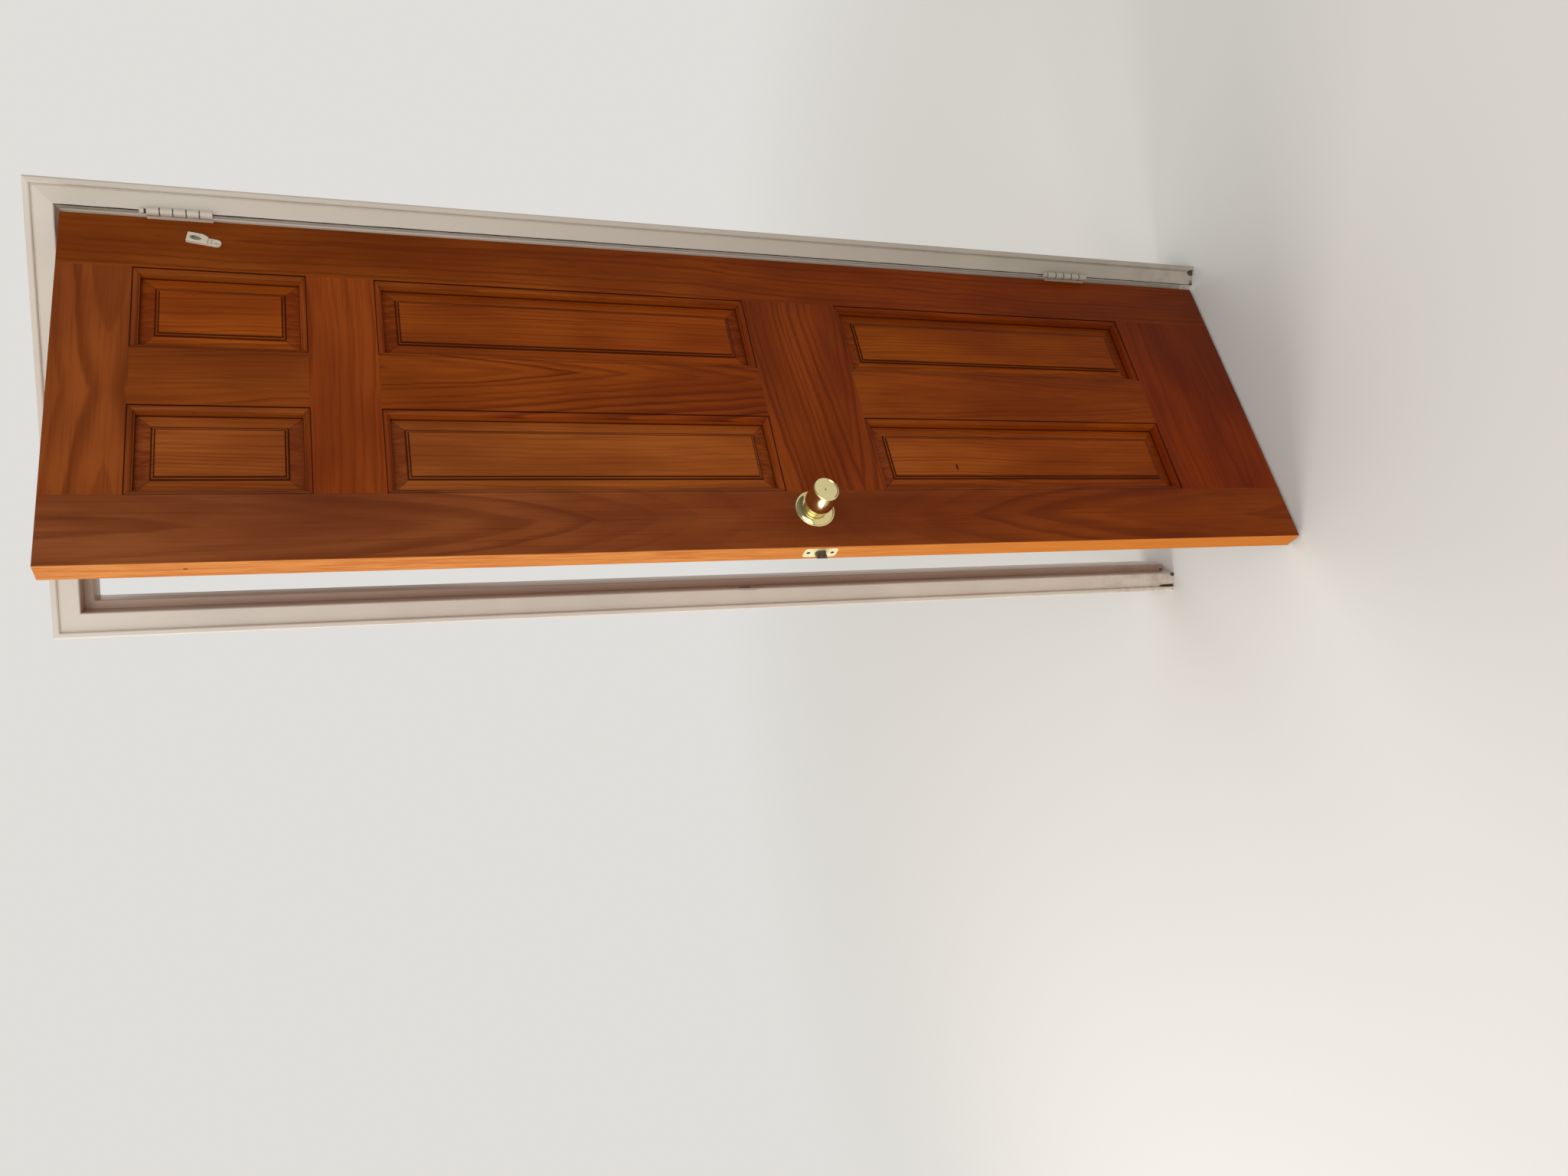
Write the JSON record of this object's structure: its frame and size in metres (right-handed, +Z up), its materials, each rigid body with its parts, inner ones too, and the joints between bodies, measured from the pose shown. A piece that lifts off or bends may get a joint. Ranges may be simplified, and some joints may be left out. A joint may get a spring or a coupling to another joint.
{
  "type": "six-panel interior door with frame",
  "caption": "Raised-panel pine interior door standing ajar in a narrow pressed-steel frame, with butt hinges, a turning knob and a sprung latch.",
  "frame": {"origin": "on the floor, midway across the doorway, in the plane of the frame's flat front face", "axes": "+Z up, +X towards the hinge jamb, +Y through the doorway away from the side that the leaf opens to"},
  "size_m": [0.681, 0.4795, 2.0845],
  "materials": {
    "frame_paint": "thick, brushed cream paint, chipped at the feet and corners",
    "hinge_paint": "painted over with the frame, built up round the knuckles",
    "bare_steel": "mill finish, hidden",
    "stained_pine": "dark reddish-brown stain under a satin varnish",
    "dowel_wood": "bare, hidden",
    "polished_brass": "polished",
    "dark_steel": "dark, worn",
    "hook_plastic": "cream, slightly soiled"
  },
  "bodies": {
    "frame": {"hinge_jamb": "frame_paint", "strike_jamb": "frame_paint", "head_jamb": "frame_paint", "top_hinge_reinforcement": "bare_steel", "bottom_hinge_reinforcement": "bare_steel", "top_hinge_frame_leaf": "hinge_paint", "bottom_hinge_frame_leaf": "hinge_paint", "top_hinge_pin": "hinge_paint", "bottom_hinge_pin": "hinge_paint", "frame_hinge_screws": "hinge_paint", "strike_plate": "frame_paint", "strike_box": "bare_steel", "strike_screws": "dark_steel", "hinge_floor_clip": "bare_steel", "strike_floor_clip": "bare_steel"},
    "leaf": {"hinge_stile": "stained_pine", "latch_stile": "stained_pine", "top_rail": "stained_pine", "frieze_rail": "stained_pine", "lock_rail": "stained_pine", "bottom_rail": "stained_pine", "upper_mullion": "stained_pine", "middle_mullion": "stained_pine", "lower_mullion": "stained_pine", "upper_hinge_panel": "stained_pine", "upper_latch_panel": "stained_pine", "middle_hinge_panel": "stained_pine", "middle_latch_panel": "stained_pine", "lower_hinge_panel": "stained_pine", "lower_latch_panel": "stained_pine", "dowels": "dowel_wood", "top_hinge_door_leaf": "hinge_paint", "bottom_hinge_door_leaf": "hinge_paint", "door_hinge_screws": "hinge_paint", "outside_rose": "polished_brass", "inside_rose": "polished_brass", "lock_chassis": "bare_steel", "latch_case": "bare_steel", "latch_faceplate": "polished_brass", "faceplate_screws": "dark_steel", "adhesive_hook": "hook_plastic"},
    "knobs": {"outside_knob": "polished_brass", "inside_knob": "polished_brass", "spindle": "bare_steel"},
    "bolt": {"latch_bolt": "dark_steel"}
  },
  "joints": [
    {"name": "leaf_swing", "type": "hinge", "parent": "frame", "child": "leaf", "pos_m": [0.3005, -0.011, 1], "axis": [0, 0, 1], "range_deg": [-36.8, 135]},
    {"name": "knob_turn", "type": "hinge", "parent": "leaf", "child": "knobs", "pos_m": [-0.12957, -0.31838, 0.9695], "axis": [0.599, -0.8007, 0], "range_deg": [0, 55], "stiffness_Nm_per_rad": 0.6, "springref_deg": -17.19},
    {"name": "bolt_slide", "type": "slide", "parent": "leaf", "child": "bolt", "axis": [0.8007, 0.599, 0], "range_m": [0, 0.012]}
  ],
  "couplings": [
    {"joint": "bolt_slide", "follows": "knob_turn", "m_per_rad": 0.0125}
  ]
}
